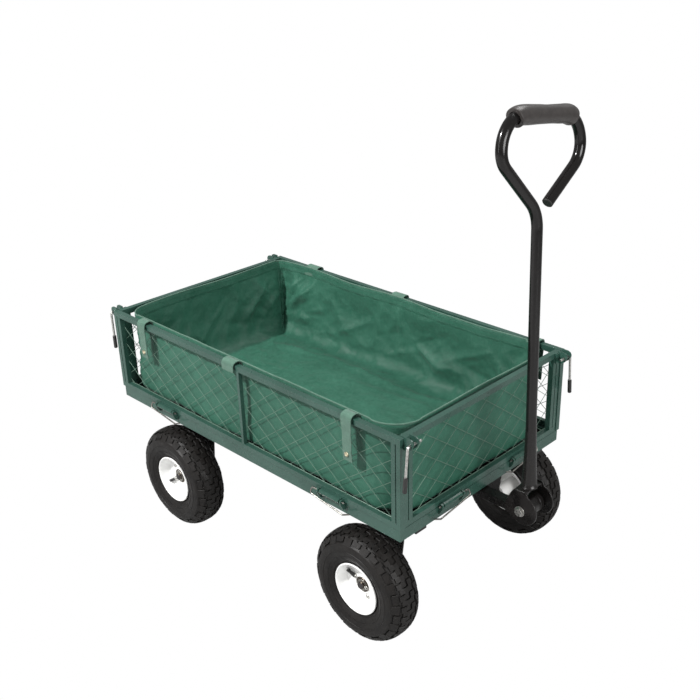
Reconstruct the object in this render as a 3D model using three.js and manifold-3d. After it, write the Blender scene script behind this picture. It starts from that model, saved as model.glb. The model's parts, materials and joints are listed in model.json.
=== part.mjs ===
// Steel mesh garden cart: drop sides, fabric liner, steered front axle, fold-down handle.
// Millimetres, +Z up, +X towards the handle. Origin on the ground under the middle of the cart.
import * as THREE from 'three';
import { mergeVertices } from 'three/addons/utils/BufferGeometryUtils.js';
import Module from 'manifold-3d';

const wasm = await Module();
wasm.setup();

// ---- Driving dimensions -------------------------------------------------
const ORIGIN_FROM_BED = 64;      // the origin is this far ahead of the middle of the bed
const BASE = { length: 960, width: 548, bottom: 291.5, top: 318, wall: 4, flange: 3 };
const PANEL = { depth: 13, rail: 13, post: 24, top: 205, bottom: -2, face: 6.5, slack: 1.5 };
const HINGE = { z: 322, out: 9.5, barrel: 5.5, ear: 5.8, bore: 3.1, half: 29, pitch: 34 };
const SIDE_LENGTH = 966;
const SIDE_HINGES = [-290, 290];
const END_HINGES = [-122, 122];
const WHEEL = { radius: 130, front: 370, rear: -275, centre: 261.5, sides: 20 };
const AXLE = { radius: 8, half: 281, bore: 8.8, inside: 12, pinHole: 2.1, pinInset: 4.5 };
const LEG = { thick: 4, foot: 112 };
const FRONT_LEG = { out: 175, topHalf: 36, footHalf: 18 };
const REAR_LEG = { out: 201, topHalf: 60, footHalf: 44 };
const STEER_TOP = 268;
const PIVOT = { x: 595, z: 296, lean: THREE.MathUtils.degToRad(1.6) };
const TUBE = { radius: 11, bore: 9.5, sides: 10, boreSides: 8 };
const LINER = { length: 920, width: 514, corner: 75, wall: 2.6, bottom: 318.6, top: 532 };
const ROD = { radius: 2.8, out: -12.5, z: 195, inner: 236, hang: 274, foot: 110 };
const LATCH = { ear: 3, ears: [249, 264.5], bottom: 181, top: 209, reach: -20.5, back: 3.9 };

// ---- Materials ----------------------------------------------------------
function paint(color, roughness, metalness) {
  return new THREE.MeshStandardMaterial({ color, roughness, metalness });
}

const LOOKS = {
  green: () => paint(0x5d6f66, 0.5, 0.3),
  mesh: () => paint(0x6f8478, 0.5, 0.4),
  black: () => paint(0x1c1a1a, 0.35, 0.3),
  zinc: () => paint(0xb9bcbd, 0.35, 0.9),
  tyre: () => paint(0x2a2624, 0.85, 0.0),
  rim: () => paint(0xe4e4e0, 0.4, 0.1),
  foam: () => paint(0x4a4745, 0.9, 0.0),
  vinyl: () => paint(0x141414, 0.5, 0.0),
  liner: () => paint(0x2f6b4f, 0.7, 0.0),
  strap: () => paint(0x6f9883, 0.8, 0.0),
};

// ---- Solid helpers ------------------------------------------------------
const vec = (x, y, z) => new THREE.Vector3(x, y, z);

function signedVolume(position, index) {
  const [a, b, c] = [vec(), vec(), vec()];
  let sum = 0;
  for (let i = 0; i < index.length; i += 3) {
    a.fromBufferAttribute(position, index[i]);
    b.fromBufferAttribute(position, index[i + 1]);
    c.fromBufferAttribute(position, index[i + 2]);
    sum += a.dot(b.cross(c));
  }
  return sum / 6;
}

// A closed geometry becomes a manifold solid whose faces point outwards.
function solid(geometry) {
  const bare = geometry.clone();
  bare.deleteAttribute('normal');
  bare.deleteAttribute('uv');
  const merged = mergeVertices(bare, 1e-4);
  const triVerts = Uint32Array.from(merged.index.array);
  if (signedVolume(merged.attributes.position, triVerts) < 0) triVerts.reverse();
  const vertProperties = Float32Array.from(merged.attributes.position.array);
  return new wasm.Manifold(new wasm.Mesh({ numProp: 3, vertProperties, triVerts }));
}

const join = (...parts) => parts.reduce((whole, part) => whole.add(part));
const cut = (whole, ...tools) => tools.reduce((rest, tool) => rest.subtract(tool), whole);

function block(x0, x1, y0, y1, z0, z1) {
  const geometry = new THREE.BoxGeometry(x1 - x0, y1 - y0, z1 - z0);
  return solid(geometry.translate((x0 + x1) / 2, (y0 + y1) / 2, (z0 + z1) / 2));
}

// A straight round bar between two points; with few sides it is a hex head or nut.
function bar(from, to, radius, sides = 8, endRadius = radius) {
  const span = to.clone().sub(from);
  const geometry = new THREE.CylinderGeometry(endRadius, radius, span.length(), sides);
  const turn = new THREE.Quaternion().setFromUnitVectors(vec(0, 1, 0), span.normalize());
  const middle = from.clone().add(to).multiplyScalar(0.5);
  return solid(geometry.applyQuaternion(turn).translate(middle.x, middle.y, middle.z));
}

function outline(points) {
  return new THREE.Shape(points.map(([x, y]) => new THREE.Vector2(x, y)));
}

// A flat outline given as [y, z] or [x, z] pairs, extruded along the third axis.
function plate(shape, normal, from, to) {
  const options = { depth: to - from, bevelEnabled: false, curveSegments: 6 };
  const geometry = new THREE.ExtrudeGeometry(shape, options);
  const basis = new THREE.Matrix4();
  if (normal === 'x') basis.makeBasis(vec(0, 1, 0), vec(0, 0, 1), vec(1, 0, 0)).setPosition(from, 0, 0);
  if (normal === 'y') basis.makeBasis(vec(1, 0, 0), vec(0, 0, 1), vec(0, -1, 0)).setPosition(0, to, 0);
  if (normal === 'z') basis.setPosition(0, 0, from);
  return solid(geometry.applyMatrix4(basis));
}

// A wire or tube centre line: straight runs joined by round bends, stepped only in the bends.
class BentPath extends THREE.Curve {
  constructor(points, bend, stepsPerBend = 4) {
    super();
    this.knots = [points[0]];
    this.tangents = [points[1].clone().sub(points[0]).normalize()];
    for (let i = 1; i < points.length - 1; i += 1) {
      const radius = Array.isArray(bend) ? bend[i - 1] : bend;
      this.addBend(points[i - 1], points[i], points[i + 1], radius, stepsPerBend);
    }
    this.knots.push(points.at(-1));
    this.tangents.push(points.at(-1).clone().sub(points.at(-2)).normalize());
  }

  addBend(before, corner, after, radius, steps) {
    const incoming = corner.clone().sub(before).normalize();
    const outgoing = after.clone().sub(corner).normalize();
    const turn = incoming.angleTo(outgoing);
    const inward = outgoing.clone().sub(incoming).normalize();
    const centre = corner.clone().addScaledVector(inward, radius / Math.cos(turn / 2));
    const axis = incoming.clone().cross(outgoing).normalize();
    const start = corner.clone().addScaledVector(incoming, -radius * Math.tan(turn / 2)).sub(centre);
    for (let k = 0; k <= steps; k += 1) {
      const angle = (turn * k) / steps;
      this.knots.push(start.clone().applyAxisAngle(axis, angle).add(centre));
      this.tangents.push(incoming.clone().applyAxisAngle(axis, angle));
    }
  }

  get steps() {
    return this.knots.length - 1;
  }

  getPointAt(u, target = vec()) {
    return target.copy(this.knots[Math.round(u * this.steps)]);
  }

  getTangentAt(u, target = vec()) {
    return target.copy(this.tangents[Math.round(u * this.steps)]);
  }
}

function ring(radius, sides) {
  const points = [];
  for (let k = 0; k < sides; k += 1) {
    const angle = (2 * Math.PI * k) / sides;
    points.push([radius * Math.cos(angle), radius * Math.sin(angle)]);
  }
  return points;
}

function sweep(path, radius, sides, bore = 0, boreSides = sides) {
  const section = outline(ring(radius, sides));
  if (bore > 0) section.holes.push(new THREE.Path(outline(ring(bore, boreSides)).getPoints()));
  const options = { steps: path.steps, extrudePath: path, curveSegments: 1 };
  return solid(new THREE.ExtrudeGeometry(section, options));
}

function revolve(profile) {
  const points = [...profile, profile[0]].map(([radius, along]) => new THREE.Vector2(radius, along));
  return solid(new THREE.LatheGeometry(points, WHEEL.sides, Math.PI / WHEEL.sides));
}

function add(group, name, body, look) {
  const { vertProperties, triVerts } = body.getMesh();
  const geometry = new THREE.BufferGeometry();
  geometry.setAttribute('position', new THREE.BufferAttribute(vertProperties, 3));
  geometry.setIndex(new THREE.BufferAttribute(triVerts, 1));
  geometry.computeVertexNormals();
  const mesh = new THREE.Mesh(geometry, look());
  mesh.name = name;
  group.add(mesh);
}

// ---- The four walls share one local frame -------------------------------
// Origin on the wall's hinge axis, X along the wall, +Y into the bed, Z up.
const SIDE_AXIS = BASE.width / 2 + HINGE.out;
const END_AXIS = BASE.length / 2 + 7.5;
const END_LENGTH = 2 * (SIDE_AXIS - PANEL.face - PANEL.depth - PANEL.slack);
const SIDE_WALL = { length: SIDE_LENGTH, hinges: SIDE_HINGES, bent: -1 };
const END_WALL = { length: END_LENGTH, hinges: END_HINGES, bent: 1 };
// The long leg of a latch rod hangs straight at the rear and flares outwards at the front.
const WALLS = {
  right: { turn: 0, x: 0, y: -SIDE_AXIS, ...SIDE_WALL },
  left: { turn: Math.PI, x: 0, y: SIDE_AXIS, ...SIDE_WALL },
  front: { turn: Math.PI / 2, x: END_AXIS, y: 0, flare: 8, ...END_WALL },
  rear: { turn: -Math.PI / 2, x: -END_AXIS, y: 0, flare: 0, ...END_WALL },
};

function wallMatrix(wall) {
  return new THREE.Matrix4().makeRotationZ(wall.turn).setPosition(wall.x, wall.y, HINGE.z);
}

function wallGroup(wall) {
  const group = new THREE.Group();
  group.position.set(wall.x, wall.y, HINGE.z);
  group.rotation.z = wall.turn;
  return group;
}

// ---- Base frame, deck and undercarriage ---------------------------------
// One rectangular hoop of boxes: outside size, band width inwards, and height range.
function hoop(length, width, band, z0, z1) {
  const [a, b] = [length / 2, width / 2];
  return join(
    block(-a, a, -b, -b + band, z0, z1),
    block(-a, a, b - band, b, z0, z1),
    block(-a, -a + band, -b, b, z0, z1),
    block(a - band, a, -b, b, z0, z1),
  );
}

// Hinge ear in the wall's frame: a round eye on a strut that reaches back to the base's face.
function hingeEar(x) {
  const thick = 4;
  const reach = HINGE.out + 0.1;
  const strut = outline([[reach, -20], [reach, -4.6], [5, -4.6], [4, 2], [-3.5, -3], [-3, -8], [4, -20]]);
  return join(
    plate(strut, 'x', x - thick / 2, x + thick / 2),
    bar(vec(x - thick / 2, 0, 0), vec(x + thick / 2, 0, 0), HINGE.ear),
  );
}

function baseEars(wall) {
  const matrix = wallMatrix(wall).elements;
  const bore = bar(vec(-wall.length / 2, 0, 0), vec(wall.length / 2, 0, 0), HINGE.bore);
  const ears = [];
  for (const hinge of wall.hinges) {
    for (const side of [-1, 1]) ears.push(cut(hingeEar(hinge + side * HINGE.pitch), bore));
  }
  return ears.map((ear) => ear.transform([...matrix]));
}

function buildBaseFrame() {
  const { length, width, bottom, top, wall, flange } = BASE;
  const [stiffenerX, stiffenerHalf, deckUnderside] = [160, 10, 311];
  const stiffeners = [-stiffenerX, stiffenerX].map((x) => block(
    x - stiffenerHalf, x + stiffenerHalf, -width / 2 + 2, width / 2 - 2, bottom + 1, deckUnderside,
  ));
  const ears = Object.values(WALLS).flatMap(baseEars);
  return join(
    hoop(length, width, wall, bottom, top),
    hoop(length, width, 30, bottom, bottom + flange),
    hoop(length, width, 18, top - flange, top),
    ...stiffeners,
    ...ears,
  );
}

function buildUndercarriage() {
  const rails = [-206, 206].map((y) => block(-476, 476, y - 16, y + 16, 281.5, 291.2));
  const crossings = [
    block(WHEEL.front - 26, WHEEL.front + 24, -200, 200, 276.5, 283),
    block(WHEEL.rear - 20, WHEEL.rear + 20, -200, 200, 281.6, 288),
  ];
  const kingpinHole = bar(vec(WHEEL.front, 0, 270), vec(WHEEL.front, 0, 290), 6.8);
  return cut(join(...rails, ...crossings), kingpinHole);
}

// A stub axle, with a hole near its outer end for the split pin.
function stubAxle(x, side, out) {
  const { radius, half, inside, pinHole, pinInset } = AXLE;
  const at = (y, z) => vec(x, side * y, WHEEL.radius + z);
  const hole = bar(at(half - pinInset, -20), at(half - pinInset, 20), pinHole, 8);
  return cut(bar(at(out - inside, 0), at(half, 0), radius, 16), hole);
}

// A bent-plate axle carrier: flat top with a leg at each end.
function axleFrame(x, top, nose, { out, topHalf, footHalf }) {
  const { thick, foot } = LEG;
  const leg = outline([
    [x - topHalf, top - 2], [x - footHalf, foot + 12], [x - footHalf + 12, foot],
    [x + footHalf - 12, foot], [x + footHalf, foot + 12], [x + topHalf, top - 2],
  ]);
  const parts = [block(x - topHalf, x + topHalf, -out, out, top - 6, top)];
  for (const y of [-out, out - thick]) parts.push(plate(leg, 'y', y, y + thick));
  if (nose > 0) parts.push(block(x + topHalf - 1, x + topHalf + nose, -30, 30, top - 6, top));
  return join(...parts);
}

function buildLiner() {
  const { length, width, corner, wall, bottom, top } = LINER;
  const rounded = (inset) => {
    const [a, b, r] = [length / 2 - inset, width / 2 - inset, corner - inset];
    const shape = new THREE.Shape();
    shape.moveTo(-a + r, -b);
    shape.absarc(a - r, -b + r, r, -Math.PI / 2, 0);
    shape.absarc(a - r, b - r, r, 0, Math.PI / 2);
    shape.absarc(-a + r, b - r, r, Math.PI / 2, Math.PI);
    shape.absarc(-a + r, -b + r, r, Math.PI, 1.5 * Math.PI);
    return shape;
  };
  return cut(plate(rounded(0), 'z', bottom, top), plate(rounded(wall), 'z', bottom + wall, top + 1));
}

// ---- Walls --------------------------------------------------------------
function buildWallFrame(wall) {
  const { depth, rail, post, top, bottom, face } = PANEL;
  const half = wall.length / 2;
  const [y0, y1] = [face, face + depth];
  const parts = [
    block(-half, half, y0, y1, bottom, bottom + rail),
    block(-half, half, y0, y1, top - rail, top),
    block(-half, -half + post, y0, y1, bottom, top),
    block(half - post, half, y0, y1, bottom, top),
  ];
  const grooves = [-1, 1].map((side) => {
    const x = side * (half - post / 2);
    return block(x - 1.2, x + 1.2, y0 - 1, y0 + 2, bottom + rail, top - rail);
  });
  const knuckles = wall.hinges.flatMap((x) => [
    bar(vec(x - HINGE.half, 0, 0), vec(x + HINGE.half, 0, 0), HINGE.barrel),
    block(x - HINGE.half, x + HINGE.half, 0, y0 + 1, 0.5, 5.4),
  ]);
  const pinBore = bar(vec(-half, 0, 0), vec(half, 0, 0), HINGE.bore);
  return cut(cut(join(...parts), ...grooves).add(join(...knuckles)), pinBore);
}

function buildSideFrame(wall) {
  const { face, depth, bottom, top } = PANEL;
  const [halfWidth, recess, lap] = [4, 2.8, 5];
  const middlePost = block(-halfWidth, halfWidth, face, face + depth - recess, bottom + lap, top - lap);
  return join(buildWallFrame(wall), middlePost);
}

// Each end wall carries a two-eared bracket at both corners; the latch rod passes through the ears.
function latchBracket(side) {
  const { ear, ears, bottom, top, reach, back } = LATCH;
  const across = (x0, x1) => (side > 0 ? [x0, x1] : [-x1, -x0]);
  const round = outline([
    [back, bottom], [-7, bottom], [-15, bottom + 6], [reach, bottom + 16],
    [reach, top - 8], [reach + 3, top - 2.5], [reach + 9, top], [back, top],
  ]);
  const plates = ears.map((x) => plate(round, 'x', ...across(x, x + ear)));
  const backPlate = block(...across(240, ears[1] + ear), back - 3, back, bottom, top - 5);
  const spacer = block(...across(240, 260), back - 1, PANEL.face + 1, bottom + 2, PANEL.top);
  const bore = bar(vec(side * 230, ROD.out, ROD.z), vec(side * 290, ROD.out, ROD.z), ROD.radius + 0.8);
  return cut(join(backPlate, spacer, ...plates), bore);
}

function buildEndFrame(wall) {
  return join(buildWallFrame(wall), latchBracket(-1), latchBracket(1));
}

function buildInfill(wall) {
  const gap = 0.35;
  const half = wall.length / 2 - PANEL.post - gap;
  const y1 = PANEL.face + PANEL.depth - 0.4;
  return block(-half, half, y1 - 1.8, y1, PANEL.bottom + PANEL.rail + gap, PANEL.top - PANEL.rail - gap);
}

// Removable wire pin: straight through the eyes, then a tail folded back with a kinked end.
function buildHingePin(x, bent) {
  const drop = -3.5;
  const path = new BentPath([
    vec(x - bent * 42, 0, 0), vec(x + bent * 54, 0, 0), vec(x + bent * 58, drop, -14),
    vec(x - bent * 40, drop, -27), vec(x - bent * 60, drop, -17),
  ], [4, 5, 4], 2);
  return sweep(path, 2.4, 6);
}

function latchRodPoints(wall, side) {
  const { out, z, inner, hang, foot } = ROD;
  return [
    vec(side * inner, out, z),
    vec(side * hang, out, z),
    vec(side * (hang + wall.flare), out, foot),
  ];
}

function buildLatchRod(wall, side) {
  const bend = 5;
  return sweep(new BentPath(latchRodPoints(wall, side), bend, 3), ROD.radius, 8);
}

function buildLatchTip(wall, side) {
  const [, elbow, foot] = latchRodPoints(wall, side);
  const up = elbow.sub(foot).normalize();
  const at = (distance) => foot.clone().addScaledVector(up, distance);
  return cut(bar(at(-12), at(22), 4.6, 10), bar(at(-0.4), at(30), ROD.radius + 0.6, 10));
}

// Each strap's name, place along the cart, width and lower end on the wall's outer side.
const STRAPS = {
  right: [['rear', -357, 30, 116], ['middle', -26, 42, 188], ['front', 343, 30, 106]],
  left: [['rear', -330, 50, 116], ['middle', -11, 40, 188], ['front', 410, 30, 106]],
};

// Webbing tab folded over the wall's top rail; the long ones carry a snap lower down.
function buildStrap(x, width, outerFoot) {
  const { face, depth, top } = PANEL;
  const [gap, thick, innerFoot] = [0.5, 1.8, 196];
  const [y0, y1, roof] = [face - gap, face + depth + gap, top + gap];
  const profile = outline([
    [y0 - thick, outerFoot], [y0, outerFoot], [y0, roof], [y1, roof], [y1, innerFoot],
    [y1 + thick, innerFoot], [y1 + thick, roof + thick], [y0 - thick, roof + thick],
  ]);
  return plate(profile, 'x', x - width / 2, x + width / 2);
}

// ---- Wheels -------------------------------------------------------------
// Profiles are [radius, distance outboard of the wheel's middle plane].
function buildTyre() {
  const tread = WHEEL.radius / Math.cos(Math.PI / WHEEL.sides);
  const outerHalf = [
    [55.5, 28.3], [61, 29.4], [76, 40], [96, 41.5], [114, 37], [tread - 5.5, 26], [tread, 10],
  ];
  const innerHalf = [[tread - 8, 16], [105, 32], [84, 35], [55.5, 20]];
  const mirror = (points) => points.map(([radius, along]) => [radius, -along]).reverse();
  return revolve([...outerHalf, ...mirror(outerHalf), ...mirror(innerHalf), ...innerHalf]);
}

function buildRim() {
  return revolve([
    [59.5, 34], [59.5, 31.6], [54, 29.6], [46, 8], [46, -8], [54, -29.6], [59.5, -31.6], [59.5, -34],
    [51, -31], [41.5, 0], [19, 4], [17.5, -58.5], [AXLE.bore, -58.5], [AXLE.bore, 10.5], [19, 10.5], [41, 11],
  ]);
}

function buildCotter() {
  const path = new BentPath([vec(0, 0, 17), vec(0, 0, -15), vec(12, 0, -18)], 2.5, 2);
  return sweep(path, 1.5, 6);
}

function addWheel(group, corner, x, side) {
  const wheel = new THREE.Group();
  wheel.position.set(x, side * WHEEL.centre, WHEEL.radius);
  wheel.rotation.z = side > 0 ? 0 : Math.PI;
  add(wheel, `tyre_${corner}`, buildTyre(), LOOKS.tyre);
  add(wheel, `rim_${corner}`, buildRim(), LOOKS.rim);
  group.add(wheel);
  const cotter = new THREE.Group();
  cotter.position.set(x, side * (AXLE.half - AXLE.pinInset), WHEEL.radius);
  add(cotter, `cotter_pin_${corner}`, buildCotter(), LOOKS.zinc);
  group.add(cotter);
}

// ---- Steering and tongue ------------------------------------------------
function buildTongue() {
  const drum = bar(vec(PIVOT.x, -26, PIVOT.z), vec(PIVOT.x, 26, PIVOT.z), 22, 16);
  const shank = block(412, PIVOT.x - 14, -13, 13, STEER_TOP + 0.3, STEER_TOP + 19.5);
  const bore = bar(vec(PIVOT.x, -30, PIVOT.z), vec(PIVOT.x, 30, PIVOT.z), 6.9);
  return cut(join(drum, shank), bore);
}

function addSteering(group) {
  const x = WHEEL.front;
  const kingpinBore = (z0, z1, radius) => bar(vec(x, 0, z0), vec(x, 0, z1), radius);
  const { out } = FRONT_LEG;
  const axleHole = bar(vec(x, -out - 5, WHEEL.radius), vec(x, out + 5, WHEEL.radius), AXLE.bore, 16);
  const carrier = cut(axleFrame(x, STEER_TOP, 42, FRONT_LEG), kingpinBore(255, 275, 6.9), axleHole);
  add(group, 'steering_frame', carrier, LOOKS.black);
  add(group, 'front_axle_left', stubAxle(x, 1, out), LOOKS.black);
  add(group, 'front_axle_right', stubAxle(x, -1, out), LOOKS.black);
  const washer = cut(kingpinBore(STEER_TOP + 0.3, 276.2, 24), kingpinBore(260, 280, 6.9));
  add(group, 'kingpin_washer', washer, LOOKS.vinyl);
  const kingpin = join(bar(vec(x, 0, 283.3), vec(x, 0, 290.8), 10, 6), kingpinBore(246, 284, 6));
  add(group, 'kingpin_bolt', kingpin, LOOKS.zinc);
  const nut = cut(bar(vec(x, 0, 252), vec(x, 0, 261.6), 10, 6), kingpinBore(240, 270, 6.7));
  add(group, 'kingpin_nut', nut, LOOKS.zinc);
  add(group, 'tongue', buildTongue(), LOOKS.black);
  const across = (y0, y1, radius, sides) => (
    bar(vec(PIVOT.x, y0, PIVOT.z), vec(PIVOT.x, y1, PIVOT.z), radius, sides)
  );
  add(group, 'handle_bolt', join(across(-39, -32.6, 10, 6), across(-33, 43, 6)), LOOKS.zinc);
  add(group, 'handle_bolt_nut', cut(across(32.6, 41, 10, 6), across(20, 50, 6.7)), LOOKS.zinc);
}

// ---- Handle, in a frame on its pivot with Z along the stem ---------------
// Centre lines as [across, up] points, with a bend radius at each corner between them.
const LOOP = {
  points: [[0, 57], [-2, 630.5], [-116, 744.5], [-113.5, 825], [117, 794.5], [139, 714.5], [31, 644]],
  bends: [76, 46, 53, 70, 47],
};
const GRIP = {
  radius: 18.5,
  bore: 12.4,
  points: [[-79, 814], [-67, 818], [82.5, 798.3], [95, 791.5]],
  bends: [50, 67],
};
const onStem = ([across, up]) => vec(0, across, up);

function buildHandleTube() {
  const path = new BentPath(LOOP.points.map(onStem), LOOP.bends, 4);
  return sweep(path, TUBE.radius, TUBE.sides, TUBE.bore, TUBE.boreSides);
}

function buildGrip() {
  return sweep(new BentPath(GRIP.points.map(onStem), GRIP.bends, 3), GRIP.radius, 10, GRIP.bore, 10);
}

function buildEndPlug() {
  const [elbow, tip] = LOOP.points.slice(-2).map(onStem);
  const inward = elbow.sub(tip).normalize();
  const at = (distance) => tip.clone().addScaledVector(inward, distance);
  return join(bar(at(-4), at(-0.4), TUBE.radius), bar(at(-1), at(14), TUBE.bore - 1.5));
}

function buildYoke() {
  const [inner, outer] = [28, 32];
  const cheek = new THREE.Shape();
  cheek.moveTo(-45, -6);
  cheek.lineTo(-33, 20);
  cheek.lineTo(-18, 49);
  cheek.lineTo(14, 49);
  cheek.lineTo(18, 38);
  cheek.absarc(6, 5, 35, 1.2, -1.75, true);
  cheek.lineTo(-20, -19);
  const web = block(-18, 14, -outer, outer, 44, 49);
  const socket = bar(vec(0, 0, 48), vec(0, 0, 122), 16.5, 12, 14);
  const bore = bar(vec(0, 0, 54), vec(0, 0, 140), 12.2, 12);
  const hole = bar(vec(0, -40, 0), vec(0, 40, 0), 6.9);
  const cheeks = join(plate(cheek, 'y', -outer, -inner), plate(cheek, 'y', inner, outer));
  return cut(join(cheeks, web, socket), bore, hole);
}

function addHandle(group) {
  const handle = new THREE.Group();
  handle.position.set(PIVOT.x, 0, PIVOT.z);
  handle.rotation.y = -PIVOT.lean;
  add(handle, 'yoke', buildYoke(), LOOKS.black);
  add(handle, 'handle_tube', buildHandleTube(), LOOKS.black);
  add(handle, 'handle_grip', buildGrip(), LOOKS.foam);
  add(handle, 'handle_end_plug', buildEndPlug(), LOOKS.vinyl);
  group.add(handle);
}

// ---- Assembly -----------------------------------------------------------
function addBase(group) {
  add(group, 'bed_frame', buildBaseFrame(), LOOKS.green);
  const [deckX, deckY] = [BASE.length / 2 - BASE.wall - 0.5, BASE.width / 2 - BASE.wall - 0.5];
  add(group, 'deck_mesh', block(-deckX, deckX, -deckY, deckY, 311.4, 314.5), LOOKS.mesh);
  add(group, 'undercarriage', buildUndercarriage(), LOOKS.black);
  const stubs = [-1, 1].map((side) => stubAxle(WHEEL.rear, side, REAR_LEG.out));
  const rearFrame = join(axleFrame(WHEEL.rear, 281.2, 0, REAR_LEG), ...stubs);
  add(group, 'rear_axle_frame', rearFrame, LOOKS.black);
  add(group, 'liner', buildLiner(), LOOKS.liner);
}

function addWalls(group) {
  for (const [place, wall] of Object.entries(WALLS)) {
    const local = wallGroup(wall);
    const isSide = place === 'right' || place === 'left';
    add(local, `${place}_panel_frame`, isSide ? buildSideFrame(wall) : buildEndFrame(wall), LOOKS.green);
    add(local, `${place}_panel_mesh`, buildInfill(wall), LOOKS.mesh);
    wall.hinges.forEach((x, i) => {
      add(local, `${place}_hinge_pin_${i + 1}`, buildHingePin(x, wall.bent), LOOKS.zinc);
    });
    if (isSide) {
      const facing = place === 'right' ? 1 : -1;
      STRAPS[place].forEach(([name, x, width, outerFoot]) => {
        add(local, `${place}_strap_${name}`, buildStrap(facing * x, width, outerFoot), LOOKS.strap);
      });
    } else {
      for (const side of [-1, 1]) {
        const hand = (place === 'front') === (side < 0) ? 'right' : 'left';
        add(local, `latch_rod_${place}_${hand}`, buildLatchRod(wall, side), LOOKS.zinc);
        add(local, `latch_tip_${place}_${hand}`, buildLatchTip(wall, side), LOOKS.vinyl);
      }
    }
    group.add(local);
  }
}

const cart = new THREE.Group();
cart.position.x = -ORIGIN_FROM_BED;
addBase(cart);
addWalls(cart);
addSteering(cart);
addHandle(cart);
addWheel(cart, 'front_left', WHEEL.front, 1);
addWheel(cart, 'front_right', WHEEL.front, -1);
addWheel(cart, 'rear_left', WHEEL.rear, 1);
addWheel(cart, 'rear_right', WHEEL.rear, -1);
cart.updateMatrixWorld(true);

export default cart;
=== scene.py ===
import json
import math
import random

import bmesh
import bpy
import numpy as np
from mathutils import Matrix, Vector, noise


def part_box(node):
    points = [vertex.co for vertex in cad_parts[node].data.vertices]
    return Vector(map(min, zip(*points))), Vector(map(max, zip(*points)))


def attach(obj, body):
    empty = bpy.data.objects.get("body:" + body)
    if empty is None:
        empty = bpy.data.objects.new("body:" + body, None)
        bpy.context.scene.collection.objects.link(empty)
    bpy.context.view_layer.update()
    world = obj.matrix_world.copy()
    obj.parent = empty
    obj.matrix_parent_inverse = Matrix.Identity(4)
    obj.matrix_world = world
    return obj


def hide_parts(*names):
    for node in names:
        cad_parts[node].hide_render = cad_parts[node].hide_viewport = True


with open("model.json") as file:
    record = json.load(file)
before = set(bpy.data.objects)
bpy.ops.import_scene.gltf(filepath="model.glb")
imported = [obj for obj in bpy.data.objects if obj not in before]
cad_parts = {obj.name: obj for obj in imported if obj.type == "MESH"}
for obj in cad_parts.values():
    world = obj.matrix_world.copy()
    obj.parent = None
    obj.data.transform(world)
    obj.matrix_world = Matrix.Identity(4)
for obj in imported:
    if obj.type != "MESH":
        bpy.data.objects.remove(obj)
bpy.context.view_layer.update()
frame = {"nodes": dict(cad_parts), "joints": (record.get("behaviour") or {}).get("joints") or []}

# Lengths in this script are millimetres in a part's own frame; they become metres in make().
JOINT_AT = {joint["name"]: Vector(joint["pos_m"]) for joint in frame["joints"]}
BED_X = sum(corner.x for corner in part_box("bed_frame")) / 2
BED = Matrix.Translation((BED_X, 0, 0))
UP = Vector((0, 0, 1))


# ---- Camera, light and floor --------------------------------------------
def new_object(name, data):
    made = bpy.data.objects.new(name, data)
    bpy.context.scene.collection.objects.link(made)
    return made


def add_camera():
    azimuth, elevation, roll = math.radians(43.28), math.radians(24.86), math.radians(-0.71)
    back = Vector((
        math.sin(azimuth) * math.cos(elevation),
        -math.cos(azimuth) * math.cos(elevation),
        math.sin(elevation),
    ))
    right = Vector((math.cos(azimuth), math.sin(azimuth), 0))
    up = back.cross(right)
    turned_right = right * math.cos(roll) + up * math.sin(roll)
    turned_up = up * math.cos(roll) - right * math.sin(roll)
    data = bpy.data.cameras.new("camera")
    data.lens, data.sensor_width = 50.2, 36
    data.shift_x, data.shift_y = -0.0503, 0.0029
    camera = new_object("camera", data)
    turn = Matrix((turned_right, turned_up, back)).transposed().to_4x4()
    spot = Vector((BED_X + 1.5592, -1.4571, 1.4512))
    camera.matrix_world = Matrix.Translation(spot) @ turn
    bpy.context.scene.camera = camera


def add_area_light(name, spot, target, size, power, height=None):
    data = bpy.data.lights.new(name, "AREA")
    data.shape, data.size, data.energy = "DISK", size, power
    if height:
        data.shape, data.size_y = "RECTANGLE", height
    light = new_object(name, data)
    light.location = spot
    light.rotation_mode = "QUATERNION"
    light.rotation_quaternion = (Vector(target) - Vector(spot)).to_track_quat("-Z", "Y")


def show_white(tree, lit, white_kind, surface):
    """The camera sees plain white here; every other ray sees the lit shader."""
    white, mix, seen = (
        tree.nodes.new(f"ShaderNode{kind}") for kind in (white_kind, "MixShader", "LightPath")
    )
    white.inputs["Color"].default_value = (1, 1, 1, 1)
    tree.links.new(seen.outputs["Is Camera Ray"], mix.inputs["Fac"])
    tree.links.new(lit, mix.inputs[1])
    tree.links.new(white.outputs[0], mix.inputs[2])
    tree.links.new(mix.outputs["Shader"], surface)


def add_studio():
    world = bpy.data.worlds.new("studio")
    world.use_nodes = True
    nodes = world.node_tree.nodes
    background = nodes["Background"]
    background.inputs["Color"].default_value = (1, 1, 1, 1)
    background.inputs["Strength"].default_value = 0.36
    surface = nodes["World Output"].inputs["Surface"]
    show_white(world.node_tree, background.outputs["Background"], "Background", surface)
    bpy.context.scene.world = world
    bpy.context.scene.view_settings.view_transform = "Standard"
    middle = (BED_X, 0, 0.35)
    add_area_light("key", (-1.0, -2.6, 3.1), middle, 0.14, 186)
    add_area_light("fill", (3.0, -0.5, 1.3), middle, 1.6, 62)
    add_area_light("top", (0.3, 1.4, 3.3), middle, 1.6, 50)
    add_area_light("strip", (-0.5, -3.0, 1.5), middle, 0.3, 18, height=2.4)


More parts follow.
